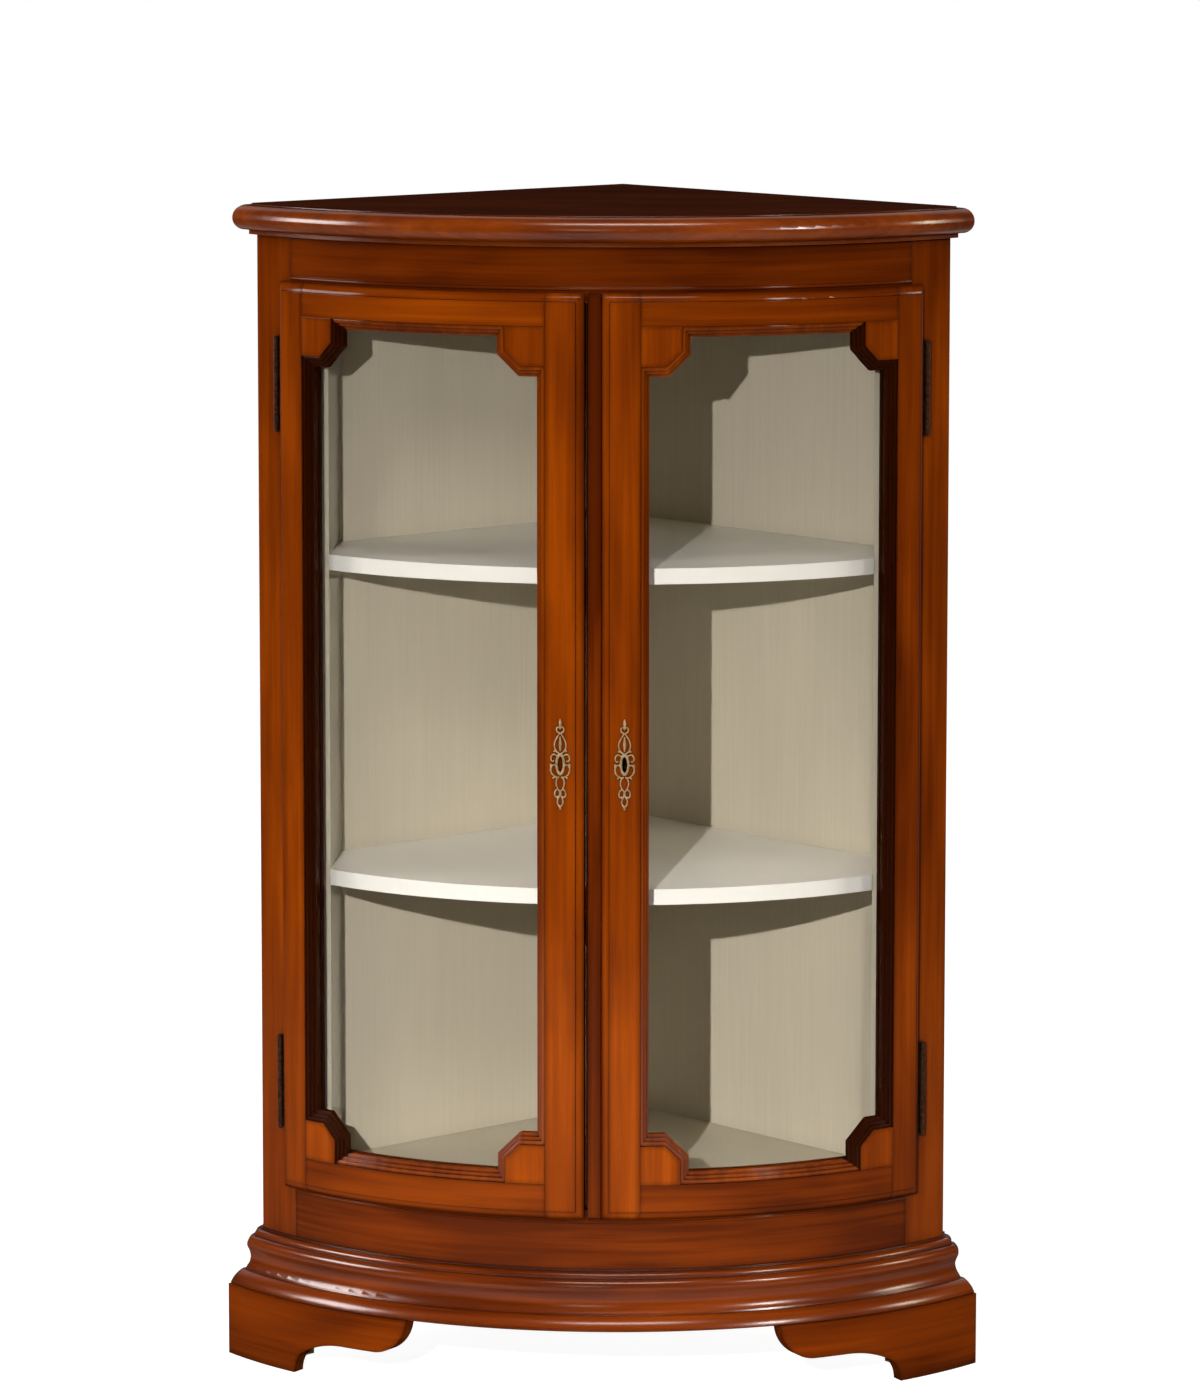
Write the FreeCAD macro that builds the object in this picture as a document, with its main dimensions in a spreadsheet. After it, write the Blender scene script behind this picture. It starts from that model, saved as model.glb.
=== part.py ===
"""Corner curio cabinet with a bowed front, two lipped glass doors and bracket feet.

Millimetres, +Z up. The origin is on the floor, in the middle of the cabinet's plan box. The front
faces -Y and the two back walls meet at 90 degrees on the +Y side.

Every front member is turned about one upright line, the bow axis. A "bow frame" has its origin on
that axis and may be turned about it: an angle of 0 looks to the front, and positive angles are to
the right of a person who faces the cabinet. In a turned frame x runs across, -y points out of the
front and z is up.
"""
import FreeCAD, Part
import math
import os
import Sketcher

DIMENSIONS = [
    # the case
    ("overall_height", 1200), ("overall_depth", 575), ("body_width", 709), ("bow_radius", 461),
    ("frame_board", 22), ("back_board", 12), ("level_board", 16), ("opening_angle", 43.2),
    ("opening_bottom", 192), ("opening_top", 1114), ("lining_face", 279), ("lining_front", 324),
    ("batten_width", 30), ("batten_back", 285), ("housing", 4),
    ("shelf_radius", 430), ("lower_shelf_top", 516), ("upper_shelf_top", 843),
    # the top
    ("top_thickness", 31), ("top_nose", 24.5), ("nose_radius", 12.5), ("top_fillet", 8),
    ("top_flat", 6), ("top_step", 1.2),
    ("frieze_bead_low", 1125), ("frieze_bead_size", 4), ("sill_bead_low", 178), ("sill_bead_size", 3),
    # the base
    ("foot_height", 74), ("foot_overhang", 36), ("foot_board", 15), ("moulding_top", 131),
    ("moulding_overhang", 33),
    ("foot_middle", 30.5), ("arch_outer", 73.5), ("arch_shoulder", 58), ("arch_shoulder_height", 25),
    ("arch_crown_end", 8), ("arch_height", 37), ("wing_start", 30), ("wing_end", 68.3),
    ("rear_foot_side", 64), ("corner_block_side", 36), ("glue_block_sweep", 5),
    ("leg_block_angle", 42.5), ("leg_block_low", 12), ("wing_block_angle", 27.5),
    ("wing_block_low", 52),
    # the doors
    ("door_bottom", 183), ("door_top", 1123), ("door_proud", 9), ("door_thickness", 25),
    ("door_clearance", 1.5), ("lip_gap", 0.6), ("lip_edge", 1.4), ("lip_round", 8.5),
    ("lip_quirk", 1.2), ("lip_angle", 44.9), ("door_edge_angle", 43.0), ("meeting_angle", 1.04),
    ("strip_angle", 0.61), ("strip_recess", 4), ("strip_crown", 1.5), ("strip_crown_radius", 11),
    ("strip_gap_depth", 7), ("strip_rear_angle", 0.9), ("door_middle", 23),
    ("sash_half", 138.2), ("sash_bottom", 219.5), ("sash_top", 1090), ("block_side", 40),
    ("block_chamfer", 15.5), ("rebate", 4), ("glass_depth", 16.5), ("glass_thickness", 3),
    ("glass_play", 0.5), ("bead_thickness", 5),
    ("moulding_width", 11), ("first_step", 4), ("second_step", 7.5), ("quirk_depth", 2),
    ("second_depth", 5), ("third_depth", 8.5),
    # the hinges
    ("hinge_angle", 45.7), ("hinge_circle", 464.6), ("knuckle_radius", 2.6), ("pin_radius", 1.2),
    ("pin_play", 0.06), ("hinge_height", 96), ("lower_hinge", 293), ("upper_hinge", 1018),
    ("leaf_thickness", 1), ("leaf_depth", 16), ("knuckle_gap", 0.3),
    # lock, bolts and keyhole plates
    ("lock_height", 650), ("keyhole_offset", 32.3), ("keyhole_width", 4.6), ("keyhole_height", 15),
    ("plate_height", 94), ("plate_thickness", 1.2), ("dummy_keyhole_depth", 4),
    ("case_left", 5), ("case_right", 46), ("case_height", 56), ("case_depth", 15),
    ("lock_bolt_height", 14), ("lock_bolt_thickness", 7), ("lock_bolt_length", 26),
    ("lock_bolt_cover", 2.8), ("lock_bolt_play", 0.15), ("bolt_offset", 20), ("rod_radius", 3),
    ("rod_circle", 433.5), ("rod_length", 62), ("rod_rest_gap", 2), ("rod_throw", 10),
    ("bolt_plate_width", 16), ("bolt_plate_length", 58), ("guide_length", 10), ("knob_radius", 2.6),
    ("knob_length", 9),
]

doc = FreeCAD.newDocument("corner_curio_cabinet")
nodes = {}


class Size:
    """A number that also knows the sheet expression it comes from."""

    def __init__(self, number, text):
        self.number = float(number)
        self.text = text

    def __add__(self, other):
        other = as_size(other)
        return Size(self.number + other.number, "(%s + %s)" % (self.text, other.text))

    def __sub__(self, other):
        other = as_size(other)
        return Size(self.number - other.number, "(%s - %s)" % (self.text, other.text))

    def __mul__(self, other):
        other = as_size(other)
        return Size(self.number * other.number, "(%s * %s)" % (self.text, other.text))

    def __truediv__(self, other):
        other = as_size(other)
        return Size(self.number / other.number, "(%s / %s)" % (self.text, other.text))

    def __radd__(self, other):
        return as_size(other) + self

    def __rsub__(self, other):
        return as_size(other) - self

    def __rmul__(self, other):
        return as_size(other) * self

    def __neg__(self):
        return Size(-self.number, "(-%s)" % self.text)


def as_size(value):
    if isinstance(value, Size):
        return value
    return Size(value, "(%.6f)" % value)


def sin(angle):
    return Size(math.sin(math.radians(angle.number)), "sin(%s)" % angle.text)


def cos(angle):
    return Size(math.cos(math.radians(angle.number)), "cos(%s)" % angle.text)


def root(value):
    return Size(math.sqrt(value.number), "sqrt(%s)" % value.text)


def make_sheet():
    """Puts the driving dimensions into the spreadsheet and returns them by name."""
    sheet = doc.addObject("Spreadsheet::Sheet", "Dims")
    sizes = {}
    for row, (name, value) in enumerate(DIMENSIONS, start=1):
        sheet.set("A%d" % row, name)
        sheet.set("B%d" % row, str(value))
        sheet.setAlias("B%d" % row, name)
        sizes[name] = Size(value, "Dims." + name)
    doc.recompute()
    return sizes


dim = make_sheet()
bow_y = dim["bow_radius"] + dim["moulding_overhang"] - dim["overall_depth"] / 2
apex = dim["overall_depth"] / 2 - bow_y
half_width = dim["body_width"] / 2
case_top = dim["overall_height"] - dim["top_thickness"]
inner_radius = dim["bow_radius"] - dim["frame_board"]
door_face = dim["bow_radius"] + dim["door_proud"]
door_back = door_face - dim["door_thickness"]
glass_front = door_face - dim["glass_depth"]
glass_back = glass_front - dim["glass_thickness"]
degrees_per_radian = 180 / math.pi


# ---------------------------------------------------------------- sketches and solids

def bind(obj, prop, size):
    obj.setExpression(prop, as_size(size).text)


def place_on_bow(obj, turn):
    """Puts an object's frame on the bow axis, turned about it."""
    turn = as_size(turn)
    obj.Placement = FreeCAD.Placement(
        FreeCAD.Vector(0, bow_y.number, 0), FreeCAD.Rotation(FreeCAD.Vector(0, 0, 1), turn.number))
    bind(obj, "Placement.Base.y", bow_y)
    if turn.number:
        bind(obj, "Placement.Rotation.Angle", turn)


def edge_between(start, end, radius):
    """A line, or the shorter arc of the radius: counter-clockwise where the radius is positive.

    Returns the edge and the point numbers of its start and end in travel order.
    """
    first = FreeCAD.Vector(start[0].number, start[1].number, 0)
    last = FreeCAD.Vector(end[0].number, end[1].number, 0)
    if radius is None:
        return Part.LineSegment(first, last), (1, 2)
    chord = last - first
    left = FreeCAD.Vector(-chord.y, chord.x, 0).normalize()
    rise = math.sqrt(max(radius.number ** 2 - (chord.Length / 2) ** 2, 0))
    side = 1 if radius.number > 0 else -1
    centre = (first + last) / 2 + left * rise * side
    circle = Part.Circle(centre, FreeCAD.Vector(0, 0, 1), abs(radius.number))
    first_angle = math.atan2(first.y - centre.y, first.x - centre.x)
    last_angle = math.atan2(last.y - centre.y, last.x - centre.x)
    if side > 0:
        return Part.ArcOfCircle(circle, first_angle, last_angle), (1, 2)
    return Part.ArcOfCircle(circle, last_angle, first_angle), (2, 1)


def draw(body, plane, corners, offset=0):
    """A closed sketch on one of the body's planes, with each corner and radius bound to the sheet.

    A corner is (x, y), or (x, y, radius) where an arc of that radius leads to it.
    """
    sketch = body.newObject("Sketcher::SketchObject", body.Name + "_sketch")
    support = [item for item in body.Origin.OriginFeatures if item.Role == plane][0]
    sketch.AttachmentSupport = (support, [""])
    sketch.MapMode = "FlatFace"
    bind(sketch, "AttachmentOffset.Base.z", offset)
    corners = [tuple(as_size(value) for value in corner) for corner in corners]
    ends = []
    for index, corner in enumerate(corners):
        before = corners[index - 1]
        radius = corner[2] if len(corner) == 3 else None
        edge, points = edge_between(before, corner, radius)
        sketch.addGeometry(edge)
        ends.append(points)
    count = len(corners)
    for index in range(count):
        after = (index + 1) % count
        sketch.addConstraint(
            Sketcher.Constraint("Coincident", index, ends[index][1], after, ends[after][0]))
    for index, corner in enumerate(corners):
        point = ends[index][1]
        for kind, size in (("DistanceX", corner[0]), ("DistanceY", corner[1])):
            rule = sketch.addConstraint(
                Sketcher.Constraint(kind, -1, 1, index, point, size.number))
            bind(sketch, "Constraints[%d]" % rule, size)
        if len(corner) == 3:
            size = corner[2] if corner[2].number > 0 else -corner[2]
            rule = sketch.addConstraint(Sketcher.Constraint("Radius", index, size.number))
            bind(sketch, "Constraints[%d]" % rule, size)
    return sketch


def new_body(name, turn):
    body = doc.addObject("PartDesign::Body", name)
    place_on_bow(body, turn)
    return body


def pad(body, sketch, length):
    feature = body.newObject("PartDesign::Pad", body.Name + "_pad")
    feature.Profile = sketch
    bind(feature, "Length", length)
    return body


def plan_body(name, turn, low, high, corners):
    """A plan outline in the turned bow frame, padded from one height to another."""
    body = new_body(name, turn)
    return pad(body, draw(body, "XY_Plane", corners, low), high - low)


def front_body(name, turn, near, far, corners):
    """An outline seen from the front (across, up), padded outwards from near to far."""
    body = new_body(name, turn)
    return pad(body, draw(body, "XZ_Plane", corners, near), far - near)


def turned_body(name, turn, sweep, corners):
    """An upright section of (radius, height) corners, turned about the bow axis."""
    body = new_body(name, turn)
    section = []
    for corner in corners:
        corner = tuple(as_size(value) for value in corner)
        section.append((-corner[0], corner[1]) + tuple(-value for value in corner[2:]))
    sketch = draw(body, "YZ_Plane", section)
    feature = body.newObject("PartDesign::Revolution", name + "_turning")
    feature.Profile = sketch
    feature.ReferenceAxis = (sketch, ["V_Axis"])
    feature.Midplane = True
    bind(feature, "Angle", sweep)
    return body


def ring(name, turn, sweep, inner, outer, low, high):
    return turned_body(name, turn, sweep, [(inner, low), (outer, low), (outer, high), (inner, high)])


def cylinder(name, radius, low, high, x=0, y=bow_y):
    body = doc.addObject("Part::Cylinder", name)
    bind(body, "Radius", radius)
    bind(body, "Height", high - low)
    bind(body, "Placement.Base.x", x)
    bind(body, "Placement.Base.y", y)
    bind(body, "Placement.Base.z", low)
    return body


def corner_box(name, setback, length, width, low, high):
    """A box in the cabinet's back corner, set in from both walls, with its sides along them."""
    box = doc.addObject("Part::Box", name)
    box.Placement = FreeCAD.Placement(
        FreeCAD.Vector(0, 0, 0), FreeCAD.Rotation(FreeCAD.Vector(0, 0, 1), -135))
    bind(box, "Length", length)
    bind(box, "Width", width)
    bind(box, "Height", high - low)
    bind(box, "Placement.Base.y", dim["overall_depth"] / 2 - as_size(setback) * math.sqrt(2))
    bind(box, "Placement.Base.z", low)
    return box


def boolean(kind, name, base, tool):
    feature = doc.addObject("Part::" + kind, name)
    feature.Base = base
    feature.Tool = tool
    return feature


def common(name, base, tool):
    return boolean("Common", name, base, tool)


def cut(name, base, tool):
    return boolean("Cut", name, base, tool)


def group(name, members):
    """Several solids as one: joined where they meet, and separate where they don't."""
    feature = doc.addObject("Part::MultiFuse", name)
    feature.Shapes = members
    return feature


def node(name, obj):
    obj.Label = name
    nodes[name] = obj
    return obj


def mirrored(name, source):
    """The same shape on the other side of the cabinet."""
    feature = doc.addObject("Part::Mirroring", name)
    feature.Source = source
    feature.Base = FreeCAD.Vector(0, 0, 0)
    feature.Normal = FreeCAD.Vector(1, 0, 0)
    return feature


def pair(name, right):
    """A piece on the right and its mirror image on the left."""
    node("left_" + name, mirrored("mirrored_" + name, right))
    node("right_" + name, right)


def polar(radius, angle):
    return radius * sin(angle), -(radius * cos(angle))


# ---------------------------------------------------------------- shared reference solids

everything = dim["overall_height"] + 10
walls = corner_box("walls", 0, 900, 900, as_size(-10), everything)
inner_walls = corner_box("inner_walls", dim["back_board"], 900, 900, as_size(-10), everything)
shelf_walls = corner_box(
    "shelf_walls", dim["back_board"] - dim["housing"], 900, 900, as_size(-10), everything)
inner_drum = cylinder("inner_drum", inner_radius, as_size(-10), everything)
body_end = root(dim["bow_radius"] * dim["bow_radius"] - half_width * half_width)
body_core = plan_body("body_core", 0, as_size(-10), everything, [
    (-half_width, as_size(400)), (-half_width, -body_end),
    (half_width, -body_end, dim["bow_radius"]), (half_width, as_size(400))])


# ---------------------------------------------------------------- the case

def moulded_board(name, edge, low, high):
    """A board over the whole plan, with its edge profile along the bow and both end returns.

    The edge is a list of (overhang, height[, radius]) corners from the bottom up. Turning it about
    the bow axis makes the front, padding it front to back makes the end returns, and where the two
    cross they meet in a mitre.
    """
    section = [(as_size(0), low)]
    section += [(dim["bow_radius"] + corner[0],) + tuple(corner[1:]) for corner in edge]
    section += [(as_size(0), high)]
    front = turned_body(name + "_front", 0, as_size(360), section)
    right = [(half_width + corner[0],) + tuple(corner[1:]) for corner in edge]
    left = []
    for index in range(len(edge) - 1, -1, -1):
        overhang, height = edge[index][:2]
        after = edge[index + 1] if index + 1 < len(edge) else ()
        left.append((-(half_width + overhang), height) + tuple(after[2:]))
    ends = front_body(name + "_ends", 0, as_size(-400), as_size(600), right + left)
    return common(name + "_cut", common(name + "_mitred", front, ends), walls)


def top_board():
    high = dim["overall_height"]
    nose_top = high - dim["top_step"]
    nose_low = nose_top - dim["nose_radius"] * 2
    nose_root = dim["top_nose"] - dim["nose_radius"]
    board = moulded_board("top", [
        (dim["top_fillet"], case_top),
        (dim["top_fillet"], nose_low),
        (nose_root, nose_low),
        (dim["top_nose"], nose_low + dim["nose_radius"], dim["nose_radius"]),
        (nose_root, nose_top, dim["nose_radius"]),
        (dim["top_flat"], nose_top),
        (dim["top_flat"], high)], case_top, high)
    node("top_board", board)


def base_moulding():
    """An ogee with a small bead at its top, applied round the foot of the case."""
    foot = dim["foot_height"]
    top = dim["moulding_top"]
    full = dim["moulding_overhang"]
    solid = moulded_board("base", [
        (full, foot),
        (full, foot + 1),
        (full - 11.5, foot + 13.5, as_size(22)),
        (full - 14.5, foot + 13.5),
        (full - 15.5, foot + 15.5),
        (full - 20, foot + 28.5, as_size(-18)),
        (full - 18.5, foot + 34.5, as_size(-18)),
        (full - 16.7, foot + 38.5),
        (full - 22, foot + 48.5, as_size(9)),
        (full - 24, foot + 48.5),
        (full - 24, foot + 50.5),
        (full - 29, foot + 55, as_size(6)),
        (full - 31, foot + 55),
        (full - 31, top)], foot, top)
    node("base_moulding", cut("base_strip", solid, body_core))


def front_frame(hinge_recess):
    """Frieze and bottom rail between two stiles, all on the bow's radius."""
    sweep = dim["opening_angle"] * 2
    face = dim["bow_radius"]
    bead = dim["frieze_bead_size"]
    low = dim["frieze_bead_low"]
    node("frieze_rail", turned_body("frieze", 0, sweep, [
        (inner_radius, dim["opening_top"]), (face, dim["opening_top"]), (face, low),
        (face, low + bead, bead * 0.6), (face, case_top), (inner_radius, case_top)]))
    bead = dim["sill_bead_size"]
    low = dim["sill_bead_low"]
    node("bottom_rail", turned_body("sill", 0, sweep, [
        (inner_radius, dim["foot_height"]), (face, dim["foot_height"]), (face, low),
        (face, low + bead, bead * 0.65), (face, dim["opening_bottom"]),
        (inner_radius, dim["opening_bottom"])]))
    outer_angle = as_size(60)
    board = ring("stile_ring", (dim["opening_angle"] + outer_angle) / 2,
                 outer_angle - dim["opening_angle"], inner_radius, face, dim["foot_height"], case_top)
    board = common("stile_walled", common("stile_ended", board, body_core), walls)
    pair("front_stile", cut("stile", board, hinge_recess))


def level_board(name, low, drum, corner):
    slab = plan_body(name + "_slab", 0, low, low + dim["level_board"], [
        (-half_width, -door_face), (half_width, -door_face),
        (half_width, apex), (-half_width, apex)])
    return common(name + "_walled", common(name + "_bowed", slab, drum), corner)


def levels():
    """Floor, ceiling and two shelves. The shelves stop at the side linings."""
    floor_low = dim["opening_bottom"] - dim["level_board"]
    floor = level_board("floor", floor_low, inner_drum, inner_walls)
    clear = dim["rod_radius"] + 0.6
    notch = plan_body("bolt_notch", 0, dim["opening_bottom"] - 12, dim["opening_bottom"] + 1, [
        (-dim["bolt_offset"] - clear, -inner_radius - 1), (clear - dim["bolt_offset"], -inner_radius - 1),
        (clear - dim["bolt_offset"], clear - dim["rod_circle"]),
        (-dim["bolt_offset"] - clear, clear - dim["rod_circle"])])
    node("floor_board", cut("floor_cut", floor, notch))
    node("sub_top", level_board("ceiling", case_top - dim["level_board"], inner_drum, inner_walls))
    drum = cylinder("shelf_drum", dim["shelf_radius"], as_size(-10), everything)
    between = plan_body("between_linings", 0, as_size(-10), everything, [
        (-dim["lining_face"], -door_face), (dim["lining_face"], -door_face),
        (dim["lining_face"], apex), (-dim["lining_face"], apex)])
    for name in ("lower_shelf", "upper_shelf"):
        board = level_board(name, dim[name + "_top"] - dim["level_board"], drum, shelf_walls)
        node(name, common(name + "_ended", board, between))


def back_panels():
    """Two boards that meet in the corner, housed for the shelves."""
    low = dim["foot_height"]
    board = dim["back_board"]
    left = corner_box("left_back_board", 0, 900, board, low, case_top)
    right = cut("right_back_butt", corner_box("right_back_board", 0, board, 900, low, case_top), left)
    shelves = group("shelf_housings", [nodes["lower_shelf"], nodes["upper_shelf"]])
    for name, blank in (("left", left), ("right", right)):
        trimmed = common(name + "_back_trimmed", blank, inner_drum)
        node(name + "_back_panel", cut(name + "_back_housed", trimmed, shelves))
    node("rear_corner_block", corner_box(
        "rear_block", board, dim["corner_block_side"], dim["corner_block_side"],
        low, dim["opening_bottom"] - dim["level_board"]))


def side_linings():
    """Upright boards that close off the acute corners behind the stiles, each on a glued batten."""
    low = dim["opening_bottom"]
    high = case_top - dim["level_board"]
    near = dim["lining_face"]
    far = near + dim["level_board"]
    lining = plan_body("lining_board", 0, low, high, [
        (near, -dim["lining_front"]), (far, -dim["lining_front"]), (far, as_size(0)),
        (near, as_size(0))])
    pair("side_lining", common("lining", lining, inner_walls))
    batten = plan_body("batten_bar", 0, low, high, [
        (far, -inner_radius), (far + dim["batten_width"], -inner_radius),
        (far + dim["batten_width"], -dim["batten_back"]), (far, -dim["batten_back"])])
    pair("stile_batten", common("batten", batten, inner_drum))


def tangent_arc(rise, run):
    """The radius of an arc that starts along the run and ends the rise away from it."""
    return (rise * rise + run * run) / (rise * 2)


def feet():
    """Bracket feet cut from bowed boards, and a square rear foot in the corner."""
    outer = dim["bow_radius"] + dim["foot_overhang"]
    inner = outer - dim["foot_board"]
    height = dim["foot_height"]
    crown = dim["arch_height"]
    shoulder = dim["arch_shoulder_height"]
    leg_radius = tangent_arc(dim["arch_outer"] - dim["arch_shoulder"], shoulder)
    arch_radius = tangent_arc(crown - shoulder, dim["arch_shoulder"] - dim["arch_crown_end"])
    wing_radius = tangent_arc(height - crown, dim["wing_end"] - dim["wing_start"])
    board = ring("foot_ring", 36, 48, inner, outer, as_size(0), height)
    board = common("foot_walled", board, walls)
    arch = front_body("foot_arch", dim["foot_middle"], 300, 600, [
        (dim["arch_outer"], as_size(-5)),
        (dim["arch_outer"], as_size(0)),
        (dim["arch_shoulder"], shoulder, leg_radius),
        (dim["arch_crown_end"], crown, arch_radius),
        (-dim["wing_start"], crown),
        (-dim["wing_end"], height, -wing_radius),
        (-dim["wing_end"], height + 5),
        (as_size(-180), height + 5),
        (as_size(-180), as_size(-5))])
    pair("foot", cut("foot_cut", board, arch))
    blocks = []
    for place in ("leg", "wing"):
        blocks.append(ring(
            place + "_glue_block", dim[place + "_block_angle"], dim["glue_block_sweep"],
            inner - dim["frame_board"], inner, dim[place + "_block_low"], height))
    blocks += [mirrored("mirrored_" + block.Name, block) for block in blocks]
    node("foot_glue_blocks", group("glue_blocks", blocks))
    leg = dim["rear_foot_side"]
    node("rear_foot", corner_box("rear_leg", 0, leg, leg, as_size(0), height))


# ---------------------------------------------------------------- the doors

lip_back = dim["bow_radius"] + dim["lip_gap"]
lip_front = lip_back + dim["lip_edge"]
round_top = door_face - dim["lip_quirk"]
round_drop = round_top - lip_front
round_radius = (dim["lip_round"] * dim["lip_round"] + round_drop * round_drop) / (round_drop * 2)
round_angle = dim["lip_round"] / door_face * degrees_per_radian


def door_section():
    """The door's upright section, turned: its face, and the rounded lips at top and bottom."""
    low = dim["door_bottom"]
    high = dim["door_top"]
    body_low = dim["opening_bottom"] + dim["door_clearance"]
    body_high = dim["opening_top"] - dim["door_clearance"]
    return turned_body("door_section", dim["door_middle"], 52, [
        (door_back, body_low), (lip_back, body_low), (lip_back, low), (lip_front, low),
        (round_top, low + dim["lip_round"], round_radius), (door_face, low + dim["lip_round"]),
        (door_face, high - dim["lip_round"]), (round_top, high - dim["lip_round"]),
        (lip_front, high, round_radius), (lip_back, high), (lip_back, body_high),
        (door_back, body_high)])


def door_blank(section):
    """The right door as one bowed slab. Its plan gives the rounded lips of the upright edges."""
    lip = dim["lip_angle"] - dim["door_middle"]
    edge = dim["door_edge_angle"] - dim["door_middle"]
    meeting = dim["meeting_angle"] - dim["door_middle"]
    plan = plan_body("door_plan", dim["door_middle"], 0, everything, [
        polar(door_back, edge) + (door_back,),
        polar(lip_back, edge),
        polar(lip_back, lip) + (lip_back,),
        polar(lip_front, lip),
        polar(round_top, lip - round_angle) + (-round_radius,),
        polar(door_face, lip - round_angle),
        polar(door_face, meeting + round_angle) + (-door_face,),
        polar(round_top, meeting + round_angle),
        polar(lip_front, meeting) + (-round_radius,),
        polar(door_back, meeting)])
    return common("door_blank", plan, section)


def sash_outline(inset):
    """The glazed opening: a rectangle with a chamfered block in each corner, set in by inset."""
    inset = as_size(inset)
    diagonal = inset * (math.sqrt(2) - 1)
    block_x = dim["sash_half"] - dim["block_side"]
    middle = (dim["sash_top"] + dim["sash_bottom"]) / 2
    half_height = (dim["sash_top"] - dim["sash_bottom"]) / 2
    block_z = half_height - dim["block_side"]
    chamfer = dim["block_chamfer"]
    corner = [
        (dim["sash_half"] - inset, block_z - inset),
        (block_x + chamfer - diagonal, block_z - inset),
        (block_x - inset, block_z + chamfer - diagonal),
        (block_x - inset, half_height - inset)]
    outline = []
    for side, up in ((1, 1), (-1, 1), (-1, -1), (1, -1)):
        points = corner if side == up else corner[::-1]
        outline += [(x * side, middle + z * up) for x, z in points]
    return outline


def rectangle(half, low, high):
    return [(-half, low), (half, low), (half, high), (-half, high)]


def door_prism(name, corners):
    """An outline cut straight through the right door, square to its middle."""
    return front_body(name, dim["door_middle"], 300, 560, corners)


def door_ring(name, inner, outer):
    return ring(name, dim["door_middle"], 44, inner, outer, 0, everything)


def door_frame(blank, hinge_recess):
    """Two stiles and two rails, rebated behind for the glass."""
    half = dim["sash_half"]
    rebate = common("rebate", door_prism("rebate_prism", rectangle(
        half + dim["rebate"], dim["sash_bottom"] - dim["rebate"], dim["sash_top"] + dim["rebate"])),
        cylinder("rebate_drum", glass_front, as_size(-10), everything))
    reach = half + 200
    zones = {
        "hinge_stile": (half, reach, as_size(-5), everything),
        "meeting_stile": (-reach, -half, as_size(-5), everything),
        "top_rail": (-half, half, dim["sash_top"], everything),
        "bottom_rail": (-half, half, as_size(-5), dim["sash_bottom"])}
    solids = {}
    for piece, (left, right, low, high) in zones.items():
        zone = door_prism(piece + "_zone", [(left, low), (right, low), (right, high), (left, high)])
        solids[piece] = cut(piece + "_rebated", common(piece + "_sawn", blank, zone), rebate)
    pair("hinge_stile", cut("hinge_stile_recessed", solids["hinge_stile"], hinge_recess))
    pair("top_rail", solids["top_rail"])
    pair("bottom_rail", solids["bottom_rail"])
    stile = solids["meeting_stile"]
    node("right_meeting_stile", cut("bored_stile", stile, keyhole("right_keyhole", 1, 400)))
    node("left_meeting_stile", cut("blind_stile", mirrored("mirrored_meeting_stile", stile), keyhole(
        "left_keyhole", -1, door_face - dim["dummy_keyhole_depth"])))


def corner_blocks():
    """Four chamfered blocks glued into the corners of the frame, in front of the glass."""
    blocks = []
    block_x = dim["sash_half"] - dim["block_side"]
    chamfer = dim["block_chamfer"]
    for across, up in ((1, 1), (-1, 1), (-1, -1), (1, -1)):
        edge = dim["sash_top"] if up > 0 else dim["sash_bottom"]
        tip = edge - dim["block_side"] * up
        blocks.append(door_prism("block_%d_%d" % (across + 1, up + 1), [
            (dim["sash_half"] * across, edge), (block_x * across, edge),
            (block_x * across, tip + chamfer * up), ((block_x + chamfer) * across, tip),
            (dim["sash_half"] * across, tip)]))
    pair("corner_blocks", common("blocks", group("block_prisms", blocks),
                                 door_ring("block_ring", glass_front, door_face)))


def glazing():
    """Stepped moulding round the opening, the bowed pane behind it and the beads that hold it."""
    solid = common("moulding_blank", door_prism("sash_prism", sash_outline(0)),
                   door_ring("moulding_ring", glass_front, door_face - dim["quirk_depth"]))
    for label, inset, depth in (("first", dim["first_step"], dim["second_depth"]),
                                ("second", dim["second_step"], dim["third_depth"])):
        inner = door_prism(label + "_step_prism", sash_outline(inset))
        drum = cylinder(label + "_step_drum", door_face - depth, as_size(-10), everything)
        solid = cut(label + "_step", solid, cut(label + "_step_cutter", inner, drum))
    light = door_prism("light_prism", sash_outline(dim["moulding_width"]))
    pair("glazing_moulding", cut("moulding", solid, light))

    half = dim["sash_half"] + dim["rebate"]
    low = dim["sash_bottom"] - dim["rebate"]
    high = dim["sash_top"] + dim["rebate"]
    play = dim["glass_play"]
    pane = door_prism("pane_prism", rectangle(half - play, low + play, high - play))
    pair("glass", common("pane", pane, door_ring("pane_ring", glass_back, glass_front)))
    inset = dim["moulding_width"]
    frame = cut("bead_frame", door_prism("bead_outer", rectangle(half, low, high)),
                door_prism("bead_inner", rectangle(
                    dim["sash_half"] - inset, dim["sash_bottom"] + inset, dim["sash_top"] - inset)))
    pair("glazing_beads", common("beads", frame, door_ring(
        "bead_ring", glass_back - dim["bead_thickness"], glass_back)))


def meeting_bead(section):
    """Bead strip glued to the right door's meeting edge. Behind its face it closes the gap."""
    front = door_face - dim["strip_recess"] - dim["strip_crown"]
    shoulder = front - dim["strip_gap_depth"]
    left = -dim["strip_angle"]
    rear_left = -dim["strip_rear_angle"]
    right = dim["meeting_angle"]
    strip = plan_body("strip_plan", 0, 0, everything, [
        polar(door_back, rear_left), polar(door_back, right) + (door_back,),
        polar(front, right), polar(front, left) + (-dim["strip_crown_radius"],),
        polar(shoulder, left), polar(shoulder, rear_left)])
    node("meeting_bead", common("strip", strip, section))


# ---------------------------------------------------------------- hinges

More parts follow.
